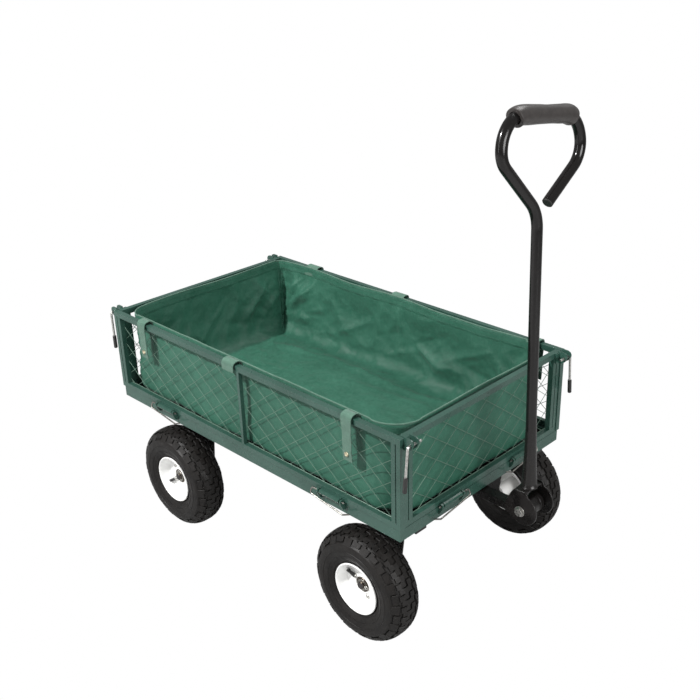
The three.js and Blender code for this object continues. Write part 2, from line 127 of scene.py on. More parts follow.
def add_floor():
    mesh, reach = bpy.data.meshes.new("floor"), 14
    corners = [(-reach, -reach, 0), (reach, -reach, 0), (reach, reach, 0), (-reach, reach, 0)]
    mesh.from_pydata(corners, [], [(0, 1, 2, 3)])
    look = Look("floor", (0.42, 0.42, 0.42), roughness=0.9)
    look.tint(look.noise(1.2), (0.4, 0.4, 0.4), (0.44, 0.44, 0.44))
    surface = look.tree.nodes["Material Output"].inputs["Surface"]
    show_white(look.tree, look.shader.outputs["BSDF"], "Emission", surface)
    mesh.materials.append(look.material)
    new_object("floor", mesh)


# ---- Materials -----------------------------------------------------------
class Look:
    """A procedural finish: one Principled shader with colour, roughness and bump from its nodes."""

    def __init__(self, name, colour, roughness=0.5, metallic=0.0, **sockets):
        self.material = bpy.data.materials.new(name)
        self.material.use_nodes = True
        self.tree = self.material.node_tree
        self.shader = self.tree.nodes["Principled BSDF"]
        sockets.update(Base_Color=(*colour, 1), Roughness=roughness, Metallic=metallic)
        for socket, value in sockets.items():
            self.shader.inputs[socket.replace("_", " ")].default_value = value
        self.place = self.tree.nodes.new("ShaderNodeTexCoord").outputs["Object"]
        self.normal = None

    def plug(self, source, socket):
        self.tree.links.new(source, socket)

    def node(self, kind, values, fed, output, **settings):
        """A new node with its sockets' values set and others fed; returns one of its outputs."""
        made = self.tree.nodes.new(f"ShaderNode{kind}")
        for key, value in settings.items():
            setattr(made, key, value)
        for socket, value in values.items():
            made.inputs[socket].default_value = value
        for socket, source in fed.items():
            self.plug(source, made.inputs[socket])
        return made.outputs[output]

    def noise(self, scale, detail=4.0, rough=0.55, distortion=0.0):
        values = {"Scale": scale, "Detail": detail, "Roughness": rough, "Distortion": distortion}
        return self.node("TexNoise", values, {"Vector": self.place}, "Fac")

    def cells(self, scale):
        return self.node("TexVoronoi", {"Scale": scale}, {"Vector": self.place}, "Distance")

    def ribs(self, scale, direction, distortion=0.0):
        values = {"Scale": scale, "Distortion": distortion, "Detail": 1.0}
        return self.node("TexWave", values, {"Vector": self.place}, "Fac", bands_direction=direction)

    def span(self, source, low, high, first=0.0, last=1.0):
        values = {"From Min": low, "From Max": high, "To Min": first, "To Max": last}
        return self.node("MapRange", values, {"Value": source}, "Result")

    def product(self, first, second):
        return self.node("Math", {}, {0: first, 1: second}, "Value", operation="MULTIPLY")

    def blend(self, share, first, second):
        """A colour between two, each a colour or the output of a node."""
        made = self.tree.nodes.new("ShaderNodeMix")
        made.data_type = "RGBA"
        self.plug(share, made.inputs["Factor"])
        sockets = [s for s in made.inputs if s.type == "RGBA"]
        for socket, value in zip(sockets, (first, second)):
            if isinstance(value, tuple):
                socket.default_value = (*value, 1)
            else:
                self.plug(value, socket)
        return next(s for s in made.outputs if s.type == "RGBA")

    def tint(self, share, first, second):
        self.plug(self.blend(share, first, second), self.shader.inputs["Base Color"])

    def gloss(self, source, first, last):
        self.plug(self.span(source, 0.3, 0.7, first, last), self.shader.inputs["Roughness"])

    def bump(self, height, distance, strength=1.0):
        fed = {"Height": height}
        if self.normal:
            fed["Normal"] = self.normal
        values = {"Distance": distance, "Strength": strength}
        self.normal = self.node("Bump", values, fed, "Normal")
        self.plug(self.normal, self.shader.inputs["Normal"])


def powder_coat(name, dark, light, roughness, peel=0.00012, specular=0.5):
    """Sprayed and baked paint: a slightly uneven colour, orange peel, and faint handling dust."""
    look = Look(name, light, roughness, Specular_IOR_Level=specular)
    broad = look.span(look.noise(9, 3), 0.3, 0.7)
    base = look.blend(broad, dark, light)
    dusty = tuple(min(1.0, c * 1.35 + 0.012) for c in light)
    specks = look.span(look.noise(240, 2), 0.62, 0.75, 0, 0.45)
    look.tint(specks, base, dusty)
    look.gloss(look.noise(35, 4), roughness - 0.07, roughness + 0.1)
    look.bump(look.noise(620, 2), peel)
    look.bump(look.noise(26, 2), 0.0006, 0.5)
    return look.material


def plated_steel(name, colour=(0.62, 0.61, 0.58)):
    look = Look(name, colour, 0.3, 1.0)
    dull = tuple(c * 0.55 for c in colour)
    look.tint(look.span(look.noise(140, 4), 0.35, 0.7), colour, dull)
    look.gloss(look.noise(300, 3), 0.22, 0.46)
    look.bump(look.noise(900, 2), 0.00008)
    return look.material


def galvanised_wire():
    look = Look("wire_paint", (0.1, 0.17, 0.13), 0.42, 0.2)
    look.tint(look.span(look.noise(60, 3), 0.3, 0.75), (0.075, 0.135, 0.1), (0.14, 0.22, 0.175))
    look.gloss(look.noise(400, 2), 0.32, 0.5)
    look.bump(look.noise(1500, 2), 0.0001)
    return look.material


def tyre_rubber():
    """Dark brown-black rubber with dusty patches and fine paler specks, its gloss varying at random."""
    look = Look("tyre_rubber", (0.008, 0.007, 0.0065), 0.45, Specular_IOR_Level=0.25)
    dust = look.span(look.noise(38, 5, 0.6), 0.35, 0.75)
    fine = look.span(look.noise(260, 3), 0.4, 0.7, 0, 0.5)
    base = look.blend(dust, (0.0045, 0.004, 0.0037), (0.01, 0.0086, 0.0077))
    look.tint(fine, base, (0.015, 0.013, 0.0115))
    look.gloss(look.noise(70, 4), 0.4, 0.6)
    look.bump(look.noise(700, 3), 0.00022)
    look.bump(look.noise(90, 3), 0.0005, 0.6)
    return look.material


def rim_paint():
    look = Look("rim_paint", (0.86, 0.86, 0.84), 0.3, Coat_Weight=0.3)
    look.tint(look.span(look.noise(30, 4), 0.4, 0.8), (0.88, 0.88, 0.865), (0.78, 0.775, 0.75))
    look.gloss(look.noise(80, 3), 0.24, 0.4)
    look.bump(look.noise(420, 2), 0.00012)
    return look.material


def handle_foam():
    """Closed-cell foam sleeve: matt, finely pitted, slightly mottled grey."""
    look = Look("handle_foam", (0.03, 0.027, 0.026), 0.5)
    look.tint(look.span(look.noise(55, 4), 0.3, 0.7), (0.028, 0.0245, 0.023), (0.041, 0.036, 0.034))
    look.bump(look.cells(950), 0.00012, 0.5)
    look.bump(look.noise(60, 3), 0.0004, 0.5)
    look.gloss(look.noise(200), 0.32, 0.46)
    return look.material


def black_vinyl():
    look = Look("black_vinyl", (0.012, 0.012, 0.012), 0.4)
    look.tint(look.noise(90), (0.009, 0.009, 0.009), (0.022, 0.021, 0.02))
    look.gloss(look.noise(150), 0.3, 0.52)
    look.bump(look.noise(800, 2), 0.0001)
    return look.material


def liner_cloth():
    """Coated polyester: a fine plain weave, a soft crumpled nap, and paler rubbed patches."""
    look = Look("liner_cloth", (0.035, 0.14, 0.09), 0.5, Sheen_Weight=0.06, Specular_IOR_Level=0.35)
    broad = look.span(look.noise(7, 5, 0.6, distortion=0.6), 0.34, 0.68)
    base = look.blend(broad, (0.011, 0.076, 0.046), (0.022, 0.108, 0.069))
    worn = look.span(look.noise(120, 6, 0.7), 0.46, 0.78, 0, 0.4)
    rubbed = look.blend(worn, base, (0.05, 0.17, 0.115))
    thread = look.product(look.ribs(330, "DIAGONAL"), look.ribs(330, "Z"))
    look.tint(look.span(thread, 0, 1, 0, 0.16), rubbed, (0.09, 0.22, 0.16))
    look.gloss(look.noise(60, 4), 0.4, 0.62)
    look.bump(thread, 0.0002, 0.8)
    look.bump(look.noise(90, 5, 0.6), 0.001, 0.4)
    return look.material


def webbing():
    """Pale green strap: a ribbed weave with a soft felted face."""
    look = Look("strap_webbing", (0.075, 0.17, 0.12), 0.75, Sheen_Weight=0.12, Sheen_Roughness=0.5)
    soft = look.span(look.noise(80, 5), 0.3, 0.75)
    base = look.blend(soft, (0.04, 0.105, 0.073), (0.07, 0.152, 0.11))
    rib = look.ribs(420, "Z", distortion=0.6)
    look.tint(look.span(rib, 0, 1, 0, 0.25), base, (0.12, 0.23, 0.17))
    look.gloss(look.noise(150), 0.66, 0.86)
    look.bump(rib, 0.0003, 0.7)
    look.bump(look.noise(160, 4), 0.0009, 0.6)
    return look.material


def thread_look():
    look = Look("sewing_thread", (0.025, 0.09, 0.06), 0.7)
    look.tint(look.noise(500), (0.02, 0.08, 0.055), (0.05, 0.14, 0.1))
    look.bump(look.ribs(900, "DIAGONAL"), 0.0001)
    return look.material


# ---- Mesh helpers ----------------------------------------------------------
class Shape:
    """Points in millimetres and faces, gathered before they become one mesh. Each method adds to
    them and returns the shape."""

    def __init__(self):
        self.points, self.faces = [], []

    def add(self, points, faces):
        start = len(self.points)
        self.points += [Vector(p) for p in points]
        self.faces += [[start + i for i in face] for face in faces]
        return self

    def rings(self, rings, closed=False):
        """Skins a row of rings that have the same number of points; an open row gets end caps."""
        size, points, faces = len(rings[0]), [p for ring in rings for p in ring], []
        for i in range(len(rings) - (not closed)):
            a, b = i * size, ((i + 1) % len(rings)) * size
            for k in range(size):
                n = (k + 1) % size
                faces.append((a + k, a + n, b + n, b + k))
        if not closed:
            faces += [range(size)[::-1], range((len(rings) - 1) * size, len(rings) * size)]
        return self.add(points, faces)

    def lathe(self, profile, segments, about="y"):
        """Turns a closed [radius, along] outline round the local Y or Z axis."""
        rings = []
        for angle in turns(segments):
            right, up = math.cos(angle), math.sin(angle)
            rings.append([
                (r * right, along, r * up) if about == "y" else (r * right, r * up, along)
                for r, along in profile
            ])
        return self.rings(rings, closed=True)

    def slab(self, outline, normal, low, high):
        """A flat outline of 2D points, made into a plate across x or y."""
        put = {"x": lambda u, v, w: (w, u, v), "y": lambda u, v, w: (u, w, v)}[normal]
        return self.rings([[put(u, v, w) for u, v in outline] for w in (low, high)])

    def tube(self, path, radius, sides=16, chamfer=0.5):
        """A round bar along a path; radius is a number or a function of the share of the way."""
        path = [Vector(p) for p in path]
        lengths = [0.0]
        for a, b in zip(path, path[1:]):
            lengths.append(lengths[-1] + (b - a).length)
        tangents = [(b - a).normalized() for a, b in neighbours(path)]
        across = tangents[0].orthogonal().normalized()
        rings = []
        for i, (point, along) in enumerate(zip(path, tangents)):
            if i:
                across = (across - along * across.dot(along)).normalized()
            other = along.cross(across)
            size = radius(lengths[i] / lengths[-1]) if callable(radius) else radius
            if chamfer and i == 0:
                rings.append(circle(point, across, other, size - chamfer, sides))
                point = point + along * chamfer
            if chamfer and i == len(path) - 1:
                rings.append(circle(point - along * chamfer, across, other, size, sides))
                size -= chamfer
            rings.append(circle(point, across, other, size, sides))
        return self.rings(rings)


def turns(count, start=0):
    """Angles evenly spaced round a full turn."""
    return [2 * math.pi * (k + start) / count for k in range(count)]


def circle(centre, across, other, radius, sides, start=0.5):
    return [
        centre + across * (radius * math.cos(angle)) + other * (radius * math.sin(angle))
        for angle in turns(sides, start)
    ]


def neighbours(row):
    """The items before and after each item of a row; the ends stand in for what is missing."""
    return zip(row[:1] + row[:-1], row[1:] + row[-1:])


def along_y(low, high):
    return [(0, low, 0), (0, high, 0)]


def make(name, shape, body, look, place=BED, node=None, bevel=0.0, smooth=35, share=None):
    """One mesh object from a Shape, in its place, riding on a body and standing in for a node."""
    mesh = share
    if not mesh:
        mesh = bpy.data.meshes.new(name)
        mesh.from_pydata([p / 1000 for p in shape.points], [], shape.faces)
        clean(mesh)
        mesh.materials.append(look)
        mesh.set_sharp_from_angle(angle=math.radians(smooth))
    piece = new_object(name, mesh)
    piece.matrix_world = place
    if bevel:
        soften(piece, bevel)
    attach(piece, body)
    if node:
        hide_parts(node)
    return piece


def clean(mesh, weld=0.0):
    """Turns the faces outwards and shades them smooth, after joining points closer than weld."""
    tidy = bmesh.new()
    tidy.from_mesh(mesh)
    if weld:
        bmesh.ops.remove_doubles(tidy, verts=tidy.verts, dist=weld)
    bmesh.ops.recalc_face_normals(tidy, faces=tidy.faces)
    tidy.to_mesh(mesh)
    tidy.free()
    mesh.polygons.foreach_set("use_smooth", [True] * len(mesh.polygons))


def soften(piece, width, weld=False):
    """Rolls the sharp edges over, as on real bent and cut metal."""
    if weld:
        piece.modifiers.new("weld", "WELD").merge_threshold = 0.00002
    rounding = piece.modifiers.new("edges", "BEVEL")
    rounding.width, rounding.segments = width / 1000, 2
    rounding.limit_method, rounding.angle_limit = "ANGLE", math.radians(34)
    rounding.use_clamp_overlap = True
    shading = piece.modifiers.new("shading", "WEIGHTED_NORMAL")
    shading.keep_sharp = False


def bent_path(points, bends, steps=7):
    """Straight runs joined by round bends, one bend radius for each inner point."""
    points = [Vector(p) for p in points]
    path = [points[0]]
    for before, corner, after, radius in zip(points, points[1:], points[2:], bends):
        incoming, outgoing = (corner - before).normalized(), (after - corner).normalized()
        turn = incoming.angle(outgoing)
        centre = corner + (outgoing - incoming).normalized() * (radius / math.cos(turn / 2))
        spoke = corner - incoming * (radius * math.tan(turn / 2)) - centre
        axis = incoming.cross(outgoing).normalized()
        for k in range(steps + 1):
            path.append(centre + Matrix.Rotation(turn * k / steps, 3, axis) @ spoke)
    path.append(points[-1])
    return path


def subdivided(path, step):
    """The same line with points no further apart than step."""
    fine = [path[0]]
    for a, b in zip(path, path[1:]):
        count = max(1, math.ceil((b - a).length / step))
        fine += [a.lerp(b, k / count) for k in range(1, count + 1)]
    return fine


def round_outline(corners, radius, steps=6):
    """A closed 2D outline with rounded corners."""
    count, outline = len(corners), []
    for i in range(count):
        before, here, after = (Vector((*corners[(i + k) % count], 0)) for k in (-1, 0, 1))
        back, ahead = (before - here).normalized(), (after - here).normalized()
        turn = math.pi - back.angle(ahead)
        reach = radius * math.tan(turn / 2)
        start, end = here + back * reach, here + ahead * reach
        centre = here + (back + ahead).normalized() * (radius / math.cos(turn / 2))
        for k in range(steps + 1):
            spoke = (start - centre).lerp(end - centre, k / steps).normalized() * radius
            outline.append(tuple((centre + spoke).xy))
    return outline


# ---- Finishes used on more than one piece -------------------------------------
GREEN = powder_coat("green_powder_coat", (0.018, 0.055, 0.041), (0.03, 0.078, 0.06), 0.27)
BLACK = powder_coat(
    "black_powder_coat", (0.0055, 0.0048, 0.0046), (0.0095, 0.0082, 0.0078), 0.26, specular=0.38,
)
HANDLE_BLACK = powder_coat(
    "handle_gloss_black", (0.004, 0.0036, 0.0036), (0.0075, 0.0064, 0.0061), 0.15, 0.00004, 0.38,
)
ZINC = plated_steel("zinc_plate")
DARK_ZINC = plated_steel("dull_zinc", (0.36, 0.35, 0.32))
SNAP_METAL = plated_steel("snap_nickel", (0.74, 0.66, 0.47))
AXLE_STEEL = plated_steel("axle_steel", (0.2, 0.17, 0.145))
WIRE, RUBBER, RIM, FOAM = galvanised_wire(), tyre_rubber(), rim_paint(), handle_foam()
VINYL, CLOTH, STRAP, THREAD = black_vinyl(), liner_cloth(), webbing(), thread_look()


def finish_cad_steel():
    """The box-like steel keeps its CAD shape, with rolled edges and paint."""
    painted = {
        "bed_frame": GREEN, "right_panel_frame": GREEN, "left_panel_frame": GREEN,
        "front_panel_frame": GREEN, "rear_panel_frame": GREEN,
        "undercarriage": BLACK, "rear_axle_frame": BLACK, "steering_frame": BLACK,
        "kingpin_washer": VINYL, "kingpin_bolt": ZINC, "kingpin_nut": ZINC,
    }
    for name, look in painted.items():
        node = frame["nodes"][name]
        node.data.materials.clear()
        node.data.materials.append(look)
        soften(node, 0.9, weld=True)


# ---- Wheels, in a frame on the wheel's centre with +Y outboard ------------------
WHEELS = {
    # side of the cart, body that carries the axle, the valve's and the rim bolt's turn in degrees
    "front_left": (1, "steering", 160, 15), "front_right": (-1, "steering", 33, -118),
    "rear_left": (1, "base", 75, -100), "rear_right": (-1, "base", -36, 51),
}
TYRE_RADIUS = 130
# Half the tyre's outer section, as [across from the middle, radius].
TYRE_SKIN = [
    (0, 130), (9, 129.6), (18, 128.2), (25, 125.4), (31, 121.2), (36, 115.2), (39.6, 107),
    (41.4, 98), (41.2, 88), (39, 78), (35.2, 69.5), (31.4, 63.5), (29.2, 59.5), (28.2, 55.6),
]
TREAD_HALF, TREAD_DEPTH, TREAD_PITCHES, SIDE_RIBS = 47, 3.8, 30, 88
FACE = 10.4  # how far outboard the rim's flat centre stands


def fine_line(points, step):
    """Points along a smooth curve through 2D points, each after its distance from the first."""
    points = [Vector((*p, 0)) for p in points]
    padded, dense = points[:1] + points + points[-1:], []
    for p0, p1, p2, p3 in zip(padded, padded[1:], padded[2:], padded[3:]):
        for k in range(12):
            t = k / 12
            dense.append(0.5 * (
                2 * p1 + (p2 - p0) * t + (2 * p0 - 5 * p1 + 4 * p2 - p3) * t ** 2
                + (3 * p1 - p0 - 3 * p2 + p3) * t ** 3
            ))
    dense.append(points[-1])
    gaps = [(b - a).length for a, b in zip(dense, dense[1:])]
    distance = np.concatenate([[0], np.cumsum(gaps)])
    where = np.linspace(0, distance[-1], int(distance[-1] / step) + 1)
    return [(s, *(np.interp(s, distance, [p[axis] for p in dense]) for axis in (0, 1))) for s in where]


SKIN = fine_line(TYRE_SKIN, 1.5)
SKIN_S, SKIN_ALONG, SKIN_RADIUS = zip(*SKIN)


def skin_point(s, depth, angle):
    """A point on the tyre: s across from the crown, depth below the surface, angle round the axle."""
    reach, side = abs(s), 1 if s >= 0 else -1
    (along, radius), (next_along, next_radius) = (
        (np.interp(at, SKIN_S, SKIN_ALONG), np.interp(at, SKIN_S, SKIN_RADIUS))
        for at in (reach, reach + 0.6)
    )
    run, rise = next_along - along, next_radius - radius
    size = math.hypot(run, rise) or 1
    along, radius = along + rise / size * depth, radius - run / size * depth
    return Vector((radius * math.cos(angle), side * along, radius * math.sin(angle)))


def tread_depth(s):
    """How far the carcass lies below the tread's skin; it runs out to nothing on the side wall."""
    return TREAD_DEPTH * min(1.0, max(0.0, (TREAD_HALF + 3 - abs(s)) / 6))


def tread_block(shape, outline, angle, depth, rounding=0.7):
    """One rubber block. The outline's points are [along the rim, across], with a chamfered top."""
    centre_u = sum(u for u, _ in outline) / len(outline)
    centre_s = sum(s for _, s in outline) / len(outline)
    rings = []
    for below, inset in ((depth + 0.6, 0), (rounding, 0), (0, rounding)):
        ring = []
        for u, s in outline:
            du, ds = centre_u - u, centre_s - s
            size = math.hypot(du, ds)
            at = angle + (u + du / size * inset * 1.3) / TYRE_RADIUS
            ring.append(skin_point(s + ds / size * inset * 1.3, below, at))
        rings.append(ring)
    shape.rings(rings)


def stepped_outline(half, s0, s1, kink):
    """A block whose two long sides step over by kink at the middle, so neighbours interlock."""
    return [
        (-half, s0), (0.0, s0), (0.0, s0 + kink), (half, s0 + kink),
        (half, s1 + kink), (0.0, s1 + kink), (0.0, s1), (-half, s1),
    ]


def build_tyre():
    section = [(s, tread_depth(s)) for s in SKIN_S]
    section = [(-s, depth) for s, depth in reversed(section[1:])] + section
    inner = [(58, 24.5), (62, 27), (70, 30.5), (84, 35), (100, 34), (112, 28), (119, 14), (120, 0)]
    profile = [skin_point(s, depth, 0).xy for s, depth in section]
    profile += inner + [(r, -a) for r, a in reversed(inner[:-1])]
    shape = Shape().lathe(profile, 120)
    pitch = 2 * math.pi * TYRE_RADIUS / TREAD_PITCHES
    rows = [
        (-12.4, -1.0, 0.0, 3.2), (1.0, 12.4, 0.5, 3.2),
        (14.6, 26.8, 0.0, -3.4), (-26.8, -14.6, 0.5, -3.4),
    ]
    half = pitch / 2 - 1.5
    for i in range(TREAD_PITCHES):
        for s0, s1, stagger, kink in rows:
            block = stepped_outline(pitch / 2 - 1.3, s0, s1, kink)
            tread_block(shape, block, (i + stagger) * pitch / TYRE_RADIUS, TREAD_DEPTH)
        foot = TREAD_HALF - 5 * (i % 2)
        shoulder = [
            (-half, 28.6), (-1.5, 28.6), (-1.5, 32), (half, 32),
            (half, foot), (half - 3, foot + 2), (-half + 2, foot + 2), (-half, foot),
        ]
        for side, stagger in ((-1, 0.25), (1, 0.75)):
            block = [(u, side * s) for u, s in shoulder]
            tread_block(shape, block, (i + stagger) * pitch / TYRE_RADIUS, TREAD_DEPTH * 0.8)
    for angle in turns(SIDE_RIBS):
        for side in (-1, 1):
            rib = [(-1.5, side * 54), (1.5, side * 54), (1.2, side * 61), (-1.2, side * 61)]
            tread_block(shape, rib, angle, -0.35, 0.3)
    for s, width in ((66, 1.6), (79, 1.2), (92, 2.2)):
        for side in (-1, 1):
            raised_ring(shape, side, s, width)
    return shape


def raised_ring(shape, side, s, width):
    """A moulded ring that stands slightly proud of the side wall."""
    section = ((-1, 0.3), (-0.5, -0.7), (0.5, -0.7), (1, 0.3))
    shape.rings([
        [skin_point(side * (s + width * share), depth, angle) for share, depth in section]
        for angle in turns(120)
    ], closed=True)


def build_rim():
    """A pressed steel dish with a rolled lip, a flat centre and a hub tube to the inside."""
    return Shape().lathe([
        (59.6, 31.2), (60.3, 33.0), (59.4, 34.6), (57.6, 34.9), (56.0, 33.6), (54.6, 30.6),
        (52.6, 25.4), (50.0, 20.4), (47.0, 16.2), (44.2, 13.2), (41.4, 11.5), (38.0, 10.8),
        (31, 10.7), (24.5, 10.8), (22.4, 11.4), (20.8, 12.6), (19.4, 12.9), (18.4, 12.2), (17.6, 10.4),
        (17.4, -2), (17.4, -57.8), (16.6, -58.5), (9.4, -58.5), (9.2, -57.5), (9.2, -40),
        (15.2, -36), (15.2, 0), (19, 4.6), (24, 7.2), (38, 7.4), (42.2, 5.0), (44.6, -2.0),
        (48.4, -18), (51.4, -28.4), (53.8, -32.6), (56.4, -34.6), (59.2, -34.4), (60, -32.6),
        (59.4, -31.2), (55.4, -29.6), (50.2, -19), (46.6, -8), (46.6, 8), (50.2, 19), (55.2, 29.4),
    ], 112)


def build_bearing():
    """The bearing's pressed ring with a ball race showing, in the rim's hub."""
    shape = Shape().lathe([
        (17.4, 9.0), (17.3, 12.0), (16.4, 12.9), (15.2, 12.6), (14.2, 11.2), (12.6, 11.0), (12, 12.2),
        (11.4, 13.2), (9.0, 13.2), (8.9, 9),
    ], 48)
    for angle in turns(9):
        spot = Vector((14.6 * math.cos(angle), 10.8, 14.6 * math.sin(angle)))
        shape.tube([spot, spot + Vector((0, 1.6, 0))], 1.3, 8, 0.5)
    return shape


def add_valve(corner, place, angle):
    """A rubber valve stem with its cap, lying outwards over the dish from near the hub."""
    outward = Vector((math.cos(angle), 0, math.sin(angle)))
    foot = outward * 21.5 + Vector((0, 13.6, 0))
    lean = (outward * 0.97 + Vector((0, 0.22, 0))).normalized()
    stem = Shape().tube([foot + lean * s for s in (3, 7, 17)], lambda t: 4.2 - 0.6 * t, 20, 0.6)
    stem.tube([foot + lean * 16.6, foot + lean * 24.5], 4.1, 14, 0.9)
    base = Shape().tube([foot - lean * 2 - Vector((0, 3, 0)), foot + lean * 4], 5.0, 20, 0.6)
    make(f"valve_stem_{corner}", stem, f"wheel_{corner}", VINYL, place)
    make(f"valve_base_{corner}", base, f"wheel_{corner}", ZINC, place)


def add_rim_bolt(corner, place, angle):
    """The head of one of the bolts that close the two halves of the rim."""
    centre = Vector((28.5 * math.cos(angle), FACE, 28.5 * math.sin(angle)))
    head = Shape().tube([centre, centre + Vector((0, 2.2, 0))], 4.6, 20, 0.8)
    make(f"rim_bolt_{corner}", head, f"wheel_{corner}", ZINC, place)


def add_axle_end(corner, place, carrier):
    """Washer, axle end and split pin, in the wheel's frame."""
    washer = Shape().lathe([(8.3, 13.5), (13.4, 13.5), (13.6, 14.0), (13.2, 14.6), (8.3, 14.6)], 40)
    make(f"axle_washer_{corner}", washer, carrier, DARK_ZINC, place)
    end = Shape().tube(along_y(8, 19.3), 8.2, 32, 1.4)
    make(f"axle_end_{corner}", end, carrier, AXLE_STEEL, place)
    pin = Shape()
    tilt = Matrix.Rotation(math.radians(-90 if carrier == "steering" else 0), 4, "Y")
    offset = Vector((0, 15, 0))
    for side in (-1, 1):
        leg = [(0, side * 0.7, 12), (0, side * 0.7, -10.5), (side * 6, side * 0.9, -13.5)]
        pin.tube([tilt @ p + offset for p in bent_path(leg, [2.2], 5)], 0.95, 10, 0.3)
    eye = [
        Vector((3.0 * math.cos(a), 0, 14.6 + 3.4 * math.sin(a))) for a in np.linspace(-1.2, 4.3, 16)
    ]
    pin.tube([tilt @ p + offset for p in eye], 1.0, 10, 0.3)
    make(f"split_pin_{corner}", pin, carrier, ZINC, place, f"cotter_pin_{corner}")


def add_wheels():
    skins = {
        "tyre": (build_tyre(), RUBBER, "tyre"), "rim": (build_rim(), RIM, "rim"),
        "bearing": (build_bearing(), AXLE_STEEL, "zinc"),
    }
    meshes = {}
    for corner, (side, carrier, valve_turn, bolt_turn) in WHEELS.items():
        place = Matrix.Translation(JOINT_AT[f"roll_{corner}"])
        if side < 0:
            place = place @ Matrix.Rotation(math.pi, 4, "Z")
        for kind, (shape, look, slot) in skins.items():
            name, body = f"{kind}_skin_{corner}", f"wheel_{corner}"
            node = f"{kind}_{corner}" if kind in ("tyre", "rim") else None
            piece = make(name, shape, body, look, place, node, share=meshes.get(kind))
            meshes[kind] = piece.data
        add_valve(corner, place, math.radians(valve_turn))
        add_rim_bolt(corner, place, math.radians(bolt_turn))
        add_axle_end(corner, place, carrier)


# ---- Tongue, yoke and handle ---------------------------------------------------
LEAN = math.radians(1.6)
PIVOT = Matrix.Translation(JOINT_AT["handle_fold"])
STEM = PIVOT @ Matrix.Rotation(-LEAN, 4, "Y")


def add_tongue():
    outline = round_outline([(-183, -27.7), (-15, -27.7), (-15, -8.5), (-183, -8.5)], 1.5)
    bar = Shape().slab(outline, "y", -13, 13)
    make("tongue_bar", bar, "steering", BLACK, PIVOT, "tongue", bevel=1.6)
    barrel = Shape().lathe([
        (7.4, -26), (20.6, -26), (22, -24.6), (22, -15), (21.4, -14.2), (21.4, 14.2), (22, 15),
        (22, 24.6), (20.6, 26), (7.4, 26),
    ], 64)
    make("tongue_barrel", barrel, "steering", BLACK, PIVOT, "tongue")


def arc(centre, radius, start, end, steps):
    return [
        (centre[0] + radius * math.cos(a), centre[1] + radius * math.sin(a))
        for a in np.linspace(start, end, steps)
    ]


def add_yoke():
    """A bent-plate fork: two cheeks round the barrel, an arched top and the socket for the stem."""
    fork = Shape()
    cheek = [(-45, -6), (-42.5, 2), (-33, 20), (-24, 37), (-18, 46), (-15, 49), (12, 49), (15.5, 45.5)]
    cheek += arc((6, 5), 35, 1.2, -1.75, 30) + [(-10, -26), (-20, -19), (-43, -9)]
    outside, inside = 32, 28
    for y0, y1 in ((-outside, -inside), (inside, outside)):
        fork.slab(cheek, "y", y0, y1)
    arch = []
    for k in range(13):
        angle = math.pi * k / 12
        arch.append((-inside * math.cos(angle), 40 + 8.6 * math.sin(angle) ** 0.6))
    under = [(u * inside / outside, v - 4) for u, v in reversed(arch)]
    fork.slab([(u * outside / inside, v) for u, v in arch] + under, "x", -17, 13.5)
    make("yoke_fork", fork, "handle", BLACK, STEM, "yoke", bevel=1.1)
    socket = Shape().lathe([
        (10.6, 46.5), (10.6, 196), (11.1, 196), (11.4, 180), (11.9, 158), (12.6, 132), (13.6, 104),
        (14.8, 78), (15.8, 58), (17.0, 50.5), (18.6, 48.6), (18.6, 46.5),
    ], 48, about="z")
    make("yoke_socket", socket, "handle", BLACK, STEM, "yoke")


def add_pivot_bolt():
    bolt = Shape().tube(along_y(-33, 43), 6, 28, 0.8)
    bolt.tube(along_y(-39, -33.8), 10, 6, 0.9).tube(along_y(-33.8, -32.4), 12, 36, 0.3)
    make("pivot_bolt", bolt, "steering", ZINC, PIVOT, "handle_bolt", bevel=0.3)
    nut = Shape().tube(along_y(34, 41), 10, 6, 0.9).tube(along_y(32.5, 34), 12, 36, 0.3)
    make("pivot_nut", nut, "steering", ZINC, PIVOT, "handle_bolt_nut", bevel=0.3)


# The handle's loop and its grip, as [across, up] from the pivot, and the radii of their bends.
LOOP_POINTS = [
    (0, 57), (-2, 630.5), (-116, 744.5), (-113.5, 825), (117, 794.5), (139, 714.5), (31, 644),
]
LOOP_BENDS = [76, 46, 53, 70, 47]
GRIP_POINTS = [(-79, 814), (-67, 818), (82.5, 798.3), (95, 791.5)]
GRIP_BENDS = [50, 67]
TUBE_RADIUS, GRIP_RADIUS, GRIP_BORE = 11, 18.0, 12.2


def on_stem(points):
    return [Vector((0, across, up)) for across, up in points]


def add_handle_tube():
    path = subdivided(bent_path(on_stem(LOOP_POINTS), LOOP_BENDS, 16), 30)
    bar = Shape().tube(path, TUBE_RADIUS, 36, 0.5)
    make("handle_bar", bar, "handle", HANDLE_BLACK, STEM, "handle_tube")
    elbow, tip = on_stem(LOOP_POINTS[-2:])
    along = (tip - elbow).normalized()
    plug = Shape().tube([tip + along * 0.2, tip + along * 4], TUBE_RADIUS, 36, 1.4)
    make("handle_plug", plug, "handle", VINYL, STEM, "handle_end_plug")


def swelling(t, height, middle, width):
    return height * math.exp(-((t - middle) / width) ** 2)


